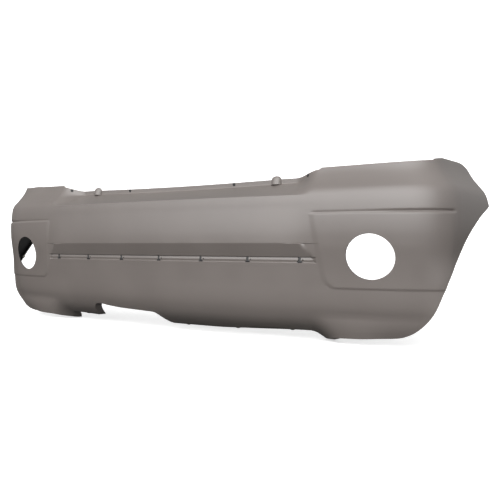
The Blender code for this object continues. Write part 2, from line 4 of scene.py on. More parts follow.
import bmesh
import bpy
import numpy as np
from mathutils import Matrix, Vector


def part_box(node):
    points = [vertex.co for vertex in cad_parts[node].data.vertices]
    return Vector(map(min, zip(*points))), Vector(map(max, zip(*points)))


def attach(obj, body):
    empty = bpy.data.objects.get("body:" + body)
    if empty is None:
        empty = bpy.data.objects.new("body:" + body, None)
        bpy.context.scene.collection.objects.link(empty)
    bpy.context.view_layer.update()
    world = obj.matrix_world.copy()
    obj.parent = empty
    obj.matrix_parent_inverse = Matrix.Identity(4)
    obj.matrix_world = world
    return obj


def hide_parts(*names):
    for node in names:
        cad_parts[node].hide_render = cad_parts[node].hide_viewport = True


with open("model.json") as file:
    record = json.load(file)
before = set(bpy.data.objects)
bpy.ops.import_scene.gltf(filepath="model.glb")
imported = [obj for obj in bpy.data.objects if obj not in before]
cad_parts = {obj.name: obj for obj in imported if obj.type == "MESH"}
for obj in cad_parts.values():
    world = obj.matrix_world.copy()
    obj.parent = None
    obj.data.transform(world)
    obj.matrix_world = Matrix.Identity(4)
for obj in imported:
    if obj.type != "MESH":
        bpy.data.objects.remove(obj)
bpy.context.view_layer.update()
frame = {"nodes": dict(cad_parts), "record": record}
print("stage: frame loaded")

# The moulded skin: a grid over the plan station s (arc length from the centre line,
# positive to the right) and the height z, both in metres
skin = {
    "wall": 0.0030,
    "bow": 1 / 4.6,                      # curvature of the face across the car
    "cornerStart": 0.335,
    "cornerEnd": 0.894,
    "cornerTurn": math.radians(76.0),
    "sharpness": 4.0,
    "wingEnd": 1.103,
    "faceForward": -0.016,
    "creaseZ": 0.372,
    "fullness": 0.60,                    # how much fuller the low corner is than the side section
    "knee": 0.071,
    "flangeSetback": 0.107,
    "flangeFootZ": 0.4040,
    "flangeTopZ": 0.4190,
    "flangeRise": 0.0035,
    "flangeFillet": 0.0035,
    "domeX": 0.339,
    "domeRadius": 0.0150,
    "channelEnd": 0.4985,
    "crease": 0.0007,                    # softening of the moulded lines
    "topDepth": 0.022,
}

# height and how far the face lies inside the plan curve there
sectionShape = np.array([
    (0.000, 0.132), (0.016, 0.098), (0.031, 0.072), (0.049, 0.050), (0.071, 0.036),
    (0.093, 0.0275), (0.122, 0.0225), (0.149, 0.0195), (0.181, 0.0155), (0.216, 0.0105),
    (0.250, 0.0055), (0.284, 0.0028), (0.304, 0.0024), (0.330, 0.0028), (0.355, 0.0042),
    (0.372, 0.0070), (0.385, 0.0125), (0.399, 0.0240), (0.4155, 0.037), (0.430, 0.0465),
    (0.444, 0.053), (0.462, 0.059)])
# lower edge: low centre strip, step down to the corner lip, then the wheel arch up to the tip
lowerEdge = np.array([
    (0.0, 0.0160), (0.15, 0.0160), (0.27, 0.0205), (0.455, 0.0265), (0.466, 0.0235),
    (0.480, 0.0130), (0.492, 0.0065), (0.505, 0.0081), (0.520, 0.0110), (0.540, 0.0145),
    (0.604, 0.0165), (0.642, 0.0190), (0.682, 0.0210), (0.703, 0.0230), (0.726, 0.0290),
    (0.749, 0.0390), (0.771, 0.0540), (0.784, 0.0670), (0.796, 0.0850), (0.805, 0.1040),
    (0.821, 0.1410), (0.830, 0.1610), (0.849, 0.1870), (0.893, 0.2340), (0.917, 0.2580),
    (0.953, 0.2830), (1.000, 0.3080), (1.031, 0.3220), (1.073, 0.3370), (1.103, 0.3480)])
tuckAlong = np.array([
    (0.0, 1.0), (0.468, 1.0), (0.480, 0.88), (0.492, 0.72), (0.505, 0.55), (0.520, 0.40),
    (0.544, 0.26), (0.584, 0.22), (0.604, 0.22), (0.642, 0.28), (0.682, 0.36),
    (0.703, 0.38), (0.749, 0.40), (0.771, 0.58), (0.800, 0.85), (0.850, 1.0)])
# turned-in lower edge: station, depth, how far its inner edge lies lower
lowerHem = np.array([
    (0.0, 0.026, 0.0), (0.458, 0.026, 0.0), (0.468, 0.027, 0.003), (0.480, 0.030, 0.0055),
    (0.492, 0.036, 0.0050), (0.505, 0.044, 0.0075), (0.520, 0.044, 0.0060),
    (0.544, 0.036, 0.0030), (0.584, 0.030, 0.0010), (0.610, 0.026, 0.0), (0.760, 0.020, 0.0)])
# exhaust notch in the left half, from the centre outwards
notchEdge = np.array([
    (0.010, 0.0161), (0.020, 0.0185), (0.030, 0.0330), (0.040, 0.0470), (0.052, 0.0510),
    (0.185, 0.0565), (0.235, 0.0610), (0.265, 0.0655), (0.283, 0.0660), (0.296, 0.0610),
    (0.304, 0.0530), (0.311, 0.0420), (0.320, 0.0310), (0.333, 0.0205)])
upperEdge = np.array([
    (0.460, 0.4370), (0.486, 0.4390), (0.4925, 0.4440), (0.700, 0.4475), (0.800, 0.4505),
    (0.870, 0.4545), (0.898, 0.4600), (1.022, 0.4600), (1.043, 0.4585), (1.062, 0.4540),
    (1.079, 0.4475), (1.086, 0.4380), (1.089, 0.4150), (1.0905, 0.3900), (1.0935, 0.3700),
    (1.098, 0.3590), (1.103, 0.3495)])


def ease(low, high, value):
    # 0 below low, 1 above high, 3t^2 - 2t^3 between
    t = np.clip((value - low) / (high - low), 0.0, 1.0)
    return t * t * (3 - 2 * t)


def smoothCurve(points, value):
    # piecewise cubic through the points, its slopes limited so that it never overshoots
    xs, ys = points[:, 0], points[:, 1]
    h = np.diff(xs)
    d = np.diff(ys) / h
    m = np.zeros(len(xs))
    same = d[:-1] * d[1:] > 0
    before = np.where(same, d[:-1], 1.0)
    after = np.where(same, d[1:], 1.0)
    w1, w2 = 2 * h[1:] + h[:-1], h[1:] + 2 * h[:-1]
    m[1:-1] = same * (w1 + w2) / (w1 / before + w2 / after)
    m[0], m[-1] = d[0], d[-1]
    i = np.clip(np.searchsorted(xs, value) - 1, 0, len(h) - 1)
    t = np.clip((value - xs[i]) / h[i], 0.0, 1.0)
    a = ys[i] * (1 + 2 * t) * (1 - t) ** 2 + m[i] * h[i] * t * (1 - t) ** 2
    return a + ys[i + 1] * t * t * (3 - 2 * t) - m[i + 1] * h[i] * t * t * (1 - t)


def softLine(points, value, radius):
    # straight runs between the points, averaged over the radius so that the corners are rounded
    xs, ys = np.array(points).T
    return sum(np.interp(value + k * radius, xs, ys) for k in (-1, -0.5, 0, 0.5, 1)) / 5


def planCurve(steps=2400):
    # heading = bow * s + corner turn * smooth step of u^sharpness; the curve is its integral
    s = np.linspace(0, 1.2, steps)
    cornerRun = skin["cornerEnd"] - skin["cornerStart"]
    u = np.clip((s - skin["cornerStart"]) / cornerRun, 0, 1) ** skin["sharpness"]
    psi = skin["bow"] * s + skin["cornerTurn"] * u * u * (3 - 2 * u)
    ds = s[1] - s[0]
    x = np.concatenate([[0], np.cumsum((np.cos(psi[1:]) + np.cos(psi[:-1])) / 2) * ds])
    y = np.concatenate([[0], np.cumsum((np.sin(psi[1:]) + np.sin(psi[:-1])) / 2) * ds])
    return s, x, y + skin["faceForward"], psi


planS, planX, planY, planPsi = planCurve()


def place(s, z, inset):
    # the plan curve's point at s, moved inset along its inward normal, at height z
    a = np.abs(s)
    psi = np.interp(a, planS, planPsi)
    x = np.interp(a, planS, planX) - np.sin(psi) * inset
    y = np.interp(a, planS, planY) + np.cos(psi) * inset
    return np.stack([np.sign(s) * x, y, z + 0 * s], -1)


def stationOf(x):
    # the station whose plan point lies at x
    half = planS <= skin["wingEnd"]
    return float(np.sign(x) * np.interp(abs(x), planX[half], planS[half]))


def fullness(a, z):
    # share of the section's inset left at the low corner ahead of the wheel
    return 1 - skin["fullness"] * ease(0.750, 0.835, a) * (1 - ease(0.15, 0.25, z))


def bottomZ(s):
    # height of the lower edge, or of the notch where it is cut higher
    a = np.abs(s)
    edge = smoothCurve(lowerEdge, a)
    cut = np.interp(a, notchEdge[:, 0], notchEdge[:, 1], left=0.0, right=0.0)
    return np.where((s < 0) & (cut > edge), cut, edge)


def topZ(s):
    # height of the top edge, straight between its points
    return np.interp(np.abs(s), upperEdge[:, 0], upperEdge[:, 1])


def bandInset(a, z):
    # face above the band proud of it, band sloping back, and the channel sunk at its foot
    end = skin["channelEnd"]
    facet = end - 0.036 + np.clip((0.25 - z) / 0.048, 0, 1) * 0.035
    above = 1 - ease(0.40, 0.52, a)
    inside = 1 - ease(facet - 0.005, facet + 0.005, a)
    weight = np.where(z > 0.251, above, inside)
    depth = softLine([(0.165, 0.0), (0.2015, 0.0005), (0.2175, 0.0032), (0.2500, -0.0055),
                      (0.2520, -0.0060), (0.3400, 0.0)], z, skin["crease"])
    groove = softLine([(0.2015, 0.0), (0.2030, 0.0048), (0.2095, 0.0026), (0.2160, 0.0038),
                       (0.2175, 0.0)], z, skin["crease"] * 0.6)
    return weight * depth + (1 - ease(end - 0.006, end, a)) * groove


def panelInset(a, z):
    # corner panel round the lamp: a little proud, with a groove along its upper edge
    start = 0.488 + (0.327 - z) / 0.18 * 0.030
    lowerLine = 0.1410 + 0.030 * (1 - ease(0.490, 0.545, a))
    rise = ease(start - 0.010, start + 0.010, a) * ease(lowerLine - 0.0030, lowerLine + 0.0030, z)
    rise = rise * (1 - ease(0.322, 0.327, z)) * (1 - ease(0.838, 0.862, a))
    groove = softLine([(0.3215, 0.0), (0.3270, 1.0), (0.3325, 0.0)], z, skin["crease"])
    run = ease(0.485, 0.500, a) * (1 - ease(0.838, 0.850, a))
    return -0.0020 * rise + groove * run * (0.0008 + 0.0024 * ease(0.60, 0.80, a))


def faceInset(s, z):
    # side section, with its part below the knee tucked in by a share that runs along s
    a = np.abs(s)
    knee = skin["knee"]
    low = smoothCurve(sectionShape, np.minimum(z, knee)) - smoothCurve(sectionShape, np.array([knee]))[0]
    inset = smoothCurve(sectionShape, np.maximum(z, knee)) + smoothCurve(tuckAlong, a) * low
    return inset * fullness(a, z) + bandInset(a, z) + panelInset(a, z)


def upperRows(s):
    # above the crease: sloped ledge, fillet and upright flange in the middle, leaning wall at
    # the sides, blended by a smooth step in s; the two domes push the flange outwards
    count = 26
    u = np.linspace(0, 1, count)[:, None]
    a = np.abs(s)[None, :]
    t = ease(-0.3, 1.3, u)
    t = (t - t[0]) / (t[-1] - t[0])
    crease = skin["creaseZ"]
    z = crease + (topZ(s) - crease)[None, :] * t
    lean = 1 + 0.2 * (1 - ease(0.50, 0.75, a)) * ease(0.0, 0.5, t)
    side = place(s[None, :] + 0 * t, z, smoothCurve(sectionShape, z) * lean)
    start = place(s, crease + 0 * s, smoothCurve(sectionShape, np.array([crease])) + 0 * s)
    footY = skin["faceForward"] + skin["flangeSetback"]
    # middle profile as (share of the ledge run, height above the foot line)
    fillet = skin["flangeFillet"]
    tall = skin["flangeTopZ"] - skin["flangeFootZ"]
    ledgeShare = np.clip(u[:, 0] / 0.50, 0, 1)
    turn = np.clip((u[:, 0] - 0.50) / 0.20, 0, 1) * math.pi / 2
    rise = np.clip((u[:, 0] - 0.70) / 0.30, 0, 1)
    backY = footY - fillet
    midY = start[None, :, 1] + (backY - start[None, :, 1]) * ledgeShare[:, None]
    midY = midY + (fillet * np.sin(turn))[:, None]
    slope = (skin["flangeFootZ"] - crease) * ledgeShare
    midZ = crease + slope + fillet * (1 - np.cos(turn)) + (tall - fillet) * rise
    flow = skin["flangeRise"] * np.minimum(a / 0.35, 1) ** 2 * ledgeShare[:, None]
    midZ = midZ[:, None] + flow
    away = (np.abs(start[None, :, 0]) - skin["domeX"]) / skin["domeRadius"]
    bump = np.sqrt(np.clip(1 - away ** 2, 0, 1))
    push = ease(0.48, 0.60, u) * np.sqrt(np.clip(1 - np.clip((u - 0.60) / 0.40, 0, 1) ** 2, 0, 1))
    midY = midY - 0.80 * skin["domeRadius"] * push * bump
    midZ = midZ + 0.60 * skin["domeRadius"] * ease(0.60, 0.95, u) * bump
    w = ease(0.40, 0.487, a) + 0 * t
    out = np.stack([start[None, :, 0] * (1 - w) + side[..., 0] * w, midY * (1 - w) + side[..., 1] * w,
                    midZ * (1 - w) + side[..., 2] * w], -1)
    out[..., 2] = np.maximum(out[..., 2], np.maximum(bottomZ(s), 0)[None, :])
    return out


def inwardDirection(s):
    # across the car at the wings, along it in the middle
    psi = np.interp(np.abs(s), planS, planPsi)
    psi = psi + (math.pi / 2 - psi) * ease(0.70, 0.78, np.abs(s))
    return np.stack([-np.sign(s) * np.sin(psi), np.cos(psi), 0 * s], -1)


def faceLevels():
    # heights of the grid's rows, closest where the moulded lines are
    runs = [(0.0, 0.1320, 14), (0.1340, 0.1480, 8), (0.1545, 0.1950, 6), (0.2000, 0.2195, 21),
            (0.2260, 0.2460, 4), (0.2485, 0.2535, 6), (0.2620, 0.3140, 7), (0.3200, 0.3340, 12),
            (0.3410, 0.3670, 5), (0.3700, 0.3700, 1)]
    return np.concatenate([np.linspace(a, b, n) for a, b, n in runs])


def skinColumns():
    # plan stations, closest at the domes, the corner lip and the wing's front edge
    runs = [(0.0, 0.312, 26), (0.3225, 0.3555, 23), (0.362, 0.450, 19), (0.4525, 0.530, 32),
            (0.537, 0.735, 30), (0.741, 0.8975, 30), (0.901, 1.022, 18), (1.027, 1.075, 11),
            (1.0775, 1.1015, 14), (1.1030, 1.1030, 1)]
    half = np.concatenate([np.linspace(a, b, n) for a, b, n in runs])
    half = np.unique(np.round(half, 6))
    notch = np.linspace(notchEdge[0, 0], notchEdge[-1, 0] + 0.002, 60)
    left = np.unique(np.round(np.concatenate([half, notch[(notch < 0.056) | (notch > 0.255)]]), 5))
    left = left[np.concatenate([[True], np.diff(left) > 0.0012])]
    return np.concatenate([-left[::-1], half[1:]])


def skinGrid():
    # rows from the inner edge of the turned-in lower edge, up the face, to the turned-in top
    s = skinColumns()
    low, top = bottomZ(s), topZ(s)
    levels = faceLevels()
    z = np.minimum(np.maximum(levels[:, None] + 0 * s, low[None, :]), top[None, :])
    face = place(s[None, :] + 0 * z, z, faceInset(s[None, :] + 0 * z, z))
    edge = place(s, low, faceInset(s, low))
    face[0] = edge
    upper = upperRows(s)
    short = top < skin["creaseZ"]
    upper[:, short] = place(s[short], top[short], faceInset(s[short], top[short]))[None]
    a = np.abs(s)
    depth = np.interp(a, lowerHem[:, 0], lowerHem[:, 1]) * (1 - 0.9 * ease(1.03, 1.07, a))
    drop = np.interp(a, lowerHem[:, 0], lowerHem[:, 2])
    inward = inwardDirection(s)
    down = np.array([0, 0, -1.0])
    hem = edge[None] + (inward * depth[:, None] + down * drop[:, None])[None]
    topDepth = skin["topDepth"] * ease(0.888, 0.902, a) * (1 - ease(1.010, 1.024, a))
    share = np.array([0.09, 0.33, 0.66, 1.0])[:, None, None]
    brow = upper[-1][None] + share * (inward * topDepth[:, None])[None]
    return np.concatenate([hem, face, upper, brow])


def meshFrom(name, points, faces):
    # a mesh from whole arrays: points n x 3, faces m x 4 or m x 3
    mesh = bpy.data.meshes.new(name)
    mesh.vertices.add(len(points))
    mesh.vertices.foreach_set("co", points.astype(np.float32).ravel())
    mesh.loops.add(faces.size)
    mesh.loops.foreach_set("vertex_index", faces.astype(np.int32).ravel())
    mesh.polygons.add(len(faces))
    mesh.polygons.foreach_set("loop_start", np.arange(0, faces.size, faces.shape[1], dtype=np.int32))
    mesh.update(calc_edges=True)
    mesh.validate()
    return mesh


def gridFaces(rows, columns, wrap=False):
    # quads of a rows x columns grid, closed round the columns when wrap is set
    index = np.arange(rows * columns).reshape(rows, columns)
    across = np.roll(index, -1, 1) if wrap else index[:, 1:]
    index = index if wrap else index[:, :-1]
    return np.stack([index[:-1], across[:-1], across[1:], index[1:]], -1).reshape(-1, 4)


def addObject(name, mesh):
    # a new object at the frame's origin
    ob = bpy.data.objects.new(name, mesh)
    bpy.context.scene.collection.objects.link(ob)
    return ob


def weld(mesh, distance):
    # merges points nearer than the distance and drops what collapses
    bm = bmesh.new()
    bm.from_mesh(mesh)
    bmesh.ops.remove_doubles(bm, verts=bm.verts, dist=distance)
    bmesh.ops.dissolve_degenerate(bm, edges=bm.edges, dist=distance / 4)
    bm.to_mesh(mesh)
    bm.free()


def applied(ob):
    # the object's mesh with its modifiers worked in
    graph = bpy.context.evaluated_depsgraph_get()
    mesh = bpy.data.meshes.new_from_object(ob.evaluated_get(graph), depsgraph=graph)
    ob.modifiers.clear()
    ob.data = mesh


def smoothShade(ob, degrees):
    # smooth shading, sharp where faces meet at more than the angle
    ob.data.shade_smooth()
    ob.data.set_sharp_from_angle(angle=math.radians(degrees))


# From the grid's own measures to the frame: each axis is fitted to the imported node's box
grid = skinGrid()
skinLow, skinHigh = (np.array(c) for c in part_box("bumper_skin"))
gridLow = grid.reshape(-1, 3).min(0)
gridHigh = grid.reshape(-1, 3).max(0)
fitScale = (skinHigh - skinLow) / (gridHigh - gridLow)


def toFrame(points):
    # each axis scaled and moved on its own
    return (np.asarray(points) - gridLow) * fitScale + skinLow


print("stage: skin grid", grid.shape, "scale", fitScale.round(4))


class Wire:
    # an output socket; arithmetic on it adds Math nodes
    def __init__(self, shader, socket):
        self.shader = shader
        self.socket = socket

    def math(self, operation, first, second):
        return self.shader.node("Math", {"operation": operation}, {0: first, 1: second})

    def __add__(self, other):
        return self.math("ADD", self, other)

    def __sub__(self, other):
        return self.math("SUBTRACT", self, other)

    def __rsub__(self, other):
        return self.math("SUBTRACT", other, self)

    def __mul__(self, other):
        return self.math("MULTIPLY", self, other)

    __radd__ = __add__
    __rmul__ = __mul__


class Nodes:
    # one node tree, its nodes made by one method
    def __init__(self, tree):
        self.tree = tree

    def node(self, kind, settings=None, inputs=None, output=0):
        made = self.tree.nodes.new("ShaderNode" + kind)
        for key, value in (settings or {}).items():
            setattr(made, key, value)
        for key, value in (inputs or {}).items():
            self.feed(made.inputs[key], value)
        return Wire(self, made.outputs[output])

    def feed(self, socket, value):
        if isinstance(value, Wire):
            self.tree.links.new(value.socket, socket)
        else:
            socket.default_value = value

    def placed(self, scale=(1, 1, 1)):
        # object coordinates, stretched for a pattern
        coordinates = self.node("TexCoord", output="Object")
        return self.node("Mapping", inputs={"Vector": coordinates, "Scale": scale})

    def noise(self, vector, scale, detail=2.0, rough=0.5):
        return self.node("TexNoise", inputs={"Vector": vector, "Scale": scale, "Detail": detail,
                                             "Roughness": rough})

    def smooth(self, value, low, high, start=0.0, end=1.0):
        return self.node("MapRange", {"interpolation_type": "SMOOTHSTEP"},
                         {"Value": value, "From Min": low, "From Max": high,
                          "To Min": start, "To Max": end})

    def blend(self, factor, first, second):
        ends = [(*c, 1) if isinstance(c, tuple) else c for c in (first, second)]
        return self.node("Mix", {"data_type": "RGBA"}, {0: factor, 6: ends[0], 7: ends[1]}, 2)

    def bump(self, height, distance):
        return self.node("Bump", inputs={"Height": height, "Distance": distance, "Strength": 1.0})


class Shader(Nodes):
    # a new material and its surface shader
    def __init__(self, name):
        self.material = bpy.data.materials.new(name)
        self.material.use_nodes = True
        super().__init__(self.material.node_tree)
        self.surface = self.tree.nodes["Principled BSDF"]

    def set(self, **values):
        for key, value in values.items():
            self.feed(self.surface.inputs[key.replace("_", " ")], value)


primer = {"colour": (0.166, 0.146, 0.135), "shade": (0.153, 0.134, 0.124), "dust": (0.210, 0.190, 0.178),
          "roughness": 0.36, "specular": 0.85, "peel": 0.00006, "peelScale": 420.0}


def primerMaterial():
    # warm grey primer: cloudy thickness, fine orange peel, sparse dust nibs and light rub marks
    m = Shader("warm_grey_primer")
    p = m.placed()
    cloud = m.noise(p, 4.5, 3.0, 0.55)
    fine = m.noise(p, primer["peelScale"], 2.0, 0.6)
    nib = m.smooth(m.noise(p, 1500.0, 1.0), 0.70, 0.78)
    rub = m.smooth(m.noise(m.placed((6, 6, 60)), 5.0, 3.0, 0.7), 0.62, 0.80)
    base = m.blend(m.smooth(cloud, 0.35, 0.65), primer["shade"], primer["colour"])
    base = m.blend(rub * 0.16 + nib * 0.12, base, primer["dust"])
    sheen = cloud * 0.10 + fine * 0.06 + (primer["roughness"] - 0.08) - rub * 0.05
    m.set(Base_Color=base, Roughness=sheen, Normal=m.bump(fine + nib * 0.5, primer["peel"]),
          Specular_IOR_Level=primer["specular"])
    return m.material


rawPlastic = {"colour": (0.0125, 0.0122, 0.0120), "haze": (0.026, 0.025, 0.024), "roughness": 0.58,
              "grain": 0.00010, "grainScale": 900.0}


def rawPlasticMaterial():
    # bare black polypropylene: fine grain, long pale flow marks, a little haze
    m = Shader("bare_black_plastic")
    p = m.placed()
    grain = m.noise(p, rawPlastic["grainScale"], 2.0, 0.6)
    flow = m.smooth(m.noise(m.placed((3, 3, 0.6)), 3.0, 4.0, 0.6), 0.45, 0.75)
    base = m.blend(flow * 0.8, rawPlastic["colour"], rawPlastic["haze"])
    m.set(Base_Color=base, Roughness=flow * 0.10 + grain * 0.10 + (rawPlastic["roughness"] - 0.10),
          Normal=m.bump(grain, rawPlastic["grain"]))
    return m.material


def mouldedMaterial(name, colour, roughness):
    # small moulded nylon part: slight sheen variation and a fine grain
    m = Shader(name)
    p = m.placed()
    grain = m.noise(p, 1400.0, 2.0)
    patch = m.noise(p, 90.0, 2.0)
    lighter = tuple(c * 1.9 for c in colour)
    m.set(Base_Color=m.blend(m.smooth(patch, 0.4, 0.7), colour, lighter),
          Roughness=patch * 0.14 + (roughness - 0.07), Normal=m.bump(grain, 0.00005))
    return m.material


def metalMaterial(name, colour, tint, roughness, stretch):
    # plated or drawn metal: fine lines along the sheet, tint in patches
    m = Shader(name)
    lines = m.noise(m.placed(stretch), 60.0, 3.0, 0.7)
    patch = m.noise(m.placed(), 160.0, 2.0)
    m.set(Base_Color=m.blend(m.smooth(patch, 0.4, 0.65), colour, tint), Metallic=1.0,
          Roughness=lines * 0.22 + (roughness - 0.11), Normal=m.bump(lines, 0.00003))
    return m.material


primerPaint = primerMaterial()
blackPlastic = rawPlasticMaterial()
blackNylon = mouldedMaterial("black_nylon", (0.016, 0.016, 0.017), 0.42)
bracketPlastic = mouldedMaterial("bracket_black", (0.022, 0.022, 0.023), 0.55)
platedSteel = metalMaterial("plated_spring_steel", (0.50, 0.49, 0.46), (0.56, 0.52, 0.42), 0.36,
                            (30, 2, 30))
rivetAluminium = metalMaterial("rivet_aluminium", (0.66, 0.66, 0.67), (0.58, 0.58, 0.59), 0.34,
                               (10, 10, 80))
print("stage: materials")


def axes(origin, first, second, third):
    # the matrix whose columns are the three axes and the origin
    made = Matrix.Identity(4)
    for column, axis in enumerate((first, second, third, origin)):
        for row in range(3):
            made[row][column] = axis[row]
    return made


def prismParts(outline, depth, spot):
    # an outline in the first two axes carried along the third, closed by fans at both ends
    n = len(outline)
    flat = np.array(outline, float)
    ends = [np.column_stack([flat, np.full(n, d)]) for d in (0.0, depth)]
    caps = np.array([[*flat.mean(0), 0.0], [*flat.mean(0), depth]])
    points = np.concatenate([*ends, caps])
    i = np.arange(n)
    j = (i + 1) % n
    faces = np.concatenate([np.stack([i, j, j + n], 1), np.stack([i, j + n, i + n], 1),
                            np.stack([j, i, np.full(n, 2 * n)], 1),
                            np.stack([i + n, j + n, np.full(n, 2 * n + 1)], 1)])
    matrix = np.array(spot)
    return points @ matrix[:3, :3].T + matrix[:3, 3], faces


def oval(width, height, sides):
    # points of an ellipse round the origin
    t = (np.arange(sides) + 0.5) * 2 * math.pi / sides
    return np.stack([width / 2 * np.cos(t), height / 2 * np.sin(t)], 1)


clip = {"stem": 0.0054, "height": 0.0140, "foot": 0.0118, "footHeight": 0.0040, "centreZ": 0.2095,
        "count": 7, "pitch": 0.150, "spare": 0.0003, "peepHole": 0.0036, "peepOffset": 0.0098}
holes = {"lampWidth": 0.118, "lampHeight": 0.110, "lampDepth": 0.15, "grommet": 0.0062,
         "pushRivet": 0.0084, "rivet": 0.0046, "depth": 0.016, "flangeDepth": 0.02, "rivetDepth": 0.018}
clipCentres = [clip["pitch"] * (i - clip["count"] // 2) for i in range(clip["count"])]


def faceFrame(x, z):
    # across, up and inwards on the outer face, at a distance from the centre line and a height
    s = stationOf(x)
    psi = float(np.interp(abs(s), planS, planPsi)) * (1 if s >= 0 else -1)
    inset = faceInset(np.array([s]), np.array([z]))
    point = toFrame(place(np.array([s]), np.array([z]), inset)[0])
    return axes(point, (math.cos(psi), math.sin(psi), 0), (0, 0, 1), (-math.sin(psi), math.cos(psi), 0))


def flangeFrame(x):
    # across, up and inwards on the front of the upper flange
    s = np.array([stationOf(x) - 0.004, stationOf(x) + 0.004])
    rows = toFrame(upperRows(s)[[19, 25]])
    across = Vector((rows[:, 1] - rows[:, 0]).mean(axis=0)).normalized()
    up = Vector((rows[1] - rows[0]).mean(axis=0)).normalized()
    inward = across.cross(up).normalized() * -1
    inward = -inward if inward.y < 0 else inward
    up = (up - inward * up.dot(inward)).normalized()
    return axes(Vector(rows.mean(axis=(0, 1))), up.cross(inward), up, inward)


def clipOutline(spare):
    # the upright stem with the wider foot at its lower end
    w, f = clip["stem"] / 2 + spare, clip["foot"] / 2 + spare
    low, high = -clip["height"] / 2 - spare, clip["height"] / 2 + spare
    step = low + clip["footHeight"] + 2 * spare
    return [(-f, low), (f, low), (f, step), (w, step), (w, high), (-w, high), (-w, step), (-f, step)]


def centreOf(node):
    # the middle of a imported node's box
    low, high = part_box(node)
    return (low + high) / 2


def nodesNamed(start):
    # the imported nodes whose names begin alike
    return sorted(name for name in frame["nodes"] if name.startswith(start))


def centredHole(outline, spot, depth):
    # a cutter that reaches half its depth either side of the frame's origin
    return prismParts(outline, depth, spot @ Matrix.Translation((0, 0, -depth / 2)))


def cutterParts():
    # lamp holes, clip slots with their peep holes, then the round holes of the fixings
    made = []
    for side in ("left", "right"):
        low, high = openingBox("lamp_hole_" + side)
        middle = (low + high) / 2
        deep = holes["lampDepth"]
        origin = (middle[0], skinLow[1] - 0.01 + deep / 2, middle[2])
        spot = axes(origin, (1, 0, 0), (0, 0, 1), (0, -1, 0))
        made.append(centredHole(oval(holes["lampWidth"], holes["lampHeight"], 96), spot, deep))
    for x in clipCentres:
        spot = faceFrame(x, clip["centreZ"])
        made.append(centredHole(clipOutline(clip["spare"]), spot, holes["depth"]))
        peep = oval(clip["peepHole"], clip["peepHole"], 20) + np.array([clip["peepOffset"], 0])
        made.append(centredHole(peep, spot, holes["depth"]))
    for node in nodesNamed("flange_grommet"):
        made.append(centredHole(oval(holes["grommet"], holes["grommet"], 24),
                                flangeFrame(centreOf(node).x), holes["flangeDepth"]))
    for start, size, sides, depth in (("push_rivet", holes["pushRivet"], 24, holes["depth"]),
                                      ("bracket_rivet", holes["rivet"], 20, holes["rivetDepth"])):
        for node in nodesNamed(start):
            spot = Matrix.Translation(centreOf(node))
            made.append(centredHole(oval(size, size, sides), spot, depth))
    return made


def openingBox(name):
    # the low and high corner of an opening that the record names
    found = [o for o in frame["record"]["physics"]["openings"] if o["name"] == name][0]
    return np.array(found["box_m"][0]), np.array(found["box_m"][1])


def buildSkin():
    # outer grid, wall thickness inwards, then the holes; outside primed, inside bare
    rows, columns = grid.shape[:2]
    mesh = meshFrom("bumper_cover_skin", toFrame(grid).reshape(-1, 3), gridFaces(rows, columns))
    weld(mesh, 0.00012)
    ob = addObject("bumper_cover_skin", mesh)
    ob.data.materials.append(primerPaint)
    ob.data.materials.append(blackPlastic)
    solid = ob.modifiers.new("wall", "SOLIDIFY")
    solid.thickness = skin["wall"]
    solid.offset = -1
    solid.use_even_offset = False
    solid.material_offset = 1
    solid.material_offset_rim = 0
    parts = cutterParts()
    start = np.cumsum([0] + [len(p) for p, f in parts])
    points = np.concatenate([p for p, f in parts])
    faces = np.concatenate([f + k for (p, f), k in zip(parts, start)])
    tool = addObject("hole_tool", meshFrom("hole_tool", points, faces))
    tool.data.materials.append(blackPlastic)
    recalc(tool.data)
    cut = ob.modifiers.new("holes", "BOOLEAN")
    cut.operation = "DIFFERENCE"
    cut.solver = "EXACT"
    cut.material_mode = "TRANSFER"
    cut.object = tool
    bpy.context.view_layer.update()
    applied(ob)
    bpy.data.objects.remove(tool)
    smoothShade(ob, 32)
    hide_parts("bumper_skin")
    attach(ob, "cover")
    print("stage: skin", len(ob.data.polygons), "faces", [m.name for m in ob.data.materials])


def recalc(mesh):
    # turns all normals outwards
    bm = bmesh.new()
    bm.from_mesh(mesh)
    bmesh.ops.recalc_face_normals(bm, faces=bm.faces)
    bm.to_mesh(mesh)
    bm.free()


buildSkin()


def turnedPiece(name, node, body, profile, spot, material, edge=0.00025, sides=48):
    # a closed (radius, height) profile carried round the third axis
    profile = np.array(profile, float)
    t = np.arange(sides) * 2 * math.pi / sides
    r, h = profile[:, 0][:, None], profile[:, 1][:, None]
    points = np.stack([r * np.cos(t), r * np.sin(t), h + 0 * t], -1)
    matrix = np.array(spot)
    flat = points.reshape(-1, 3) @ matrix[:3, :3].T + matrix[:3, 3]
    faces = gridFaces(len(profile) + 1, sides, wrap=True) % (len(profile) * sides)
    mesh = meshFrom(name, flat, faces)
    weld(mesh, 0.00001)
    recalc(mesh)
    ob = addObject(name, mesh)
    ob.data.materials.append(material)
    bevel = ob.modifiers.new("edge", "BEVEL")
    bevel.width = edge
    bevel.segments = 2
    bevel.limit_method = "ANGLE"
    bevel.angle_limit = math.radians(35)
    applied(ob)
    smoothShade(ob, 40)
    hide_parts(node)
    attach(ob, body)


grommet = {"bore": 0.0016, "head": 0.0045, "thick": 0.0013, "gap": 0.0003, "shank": 0.0028,
           "barb": 0.0039}


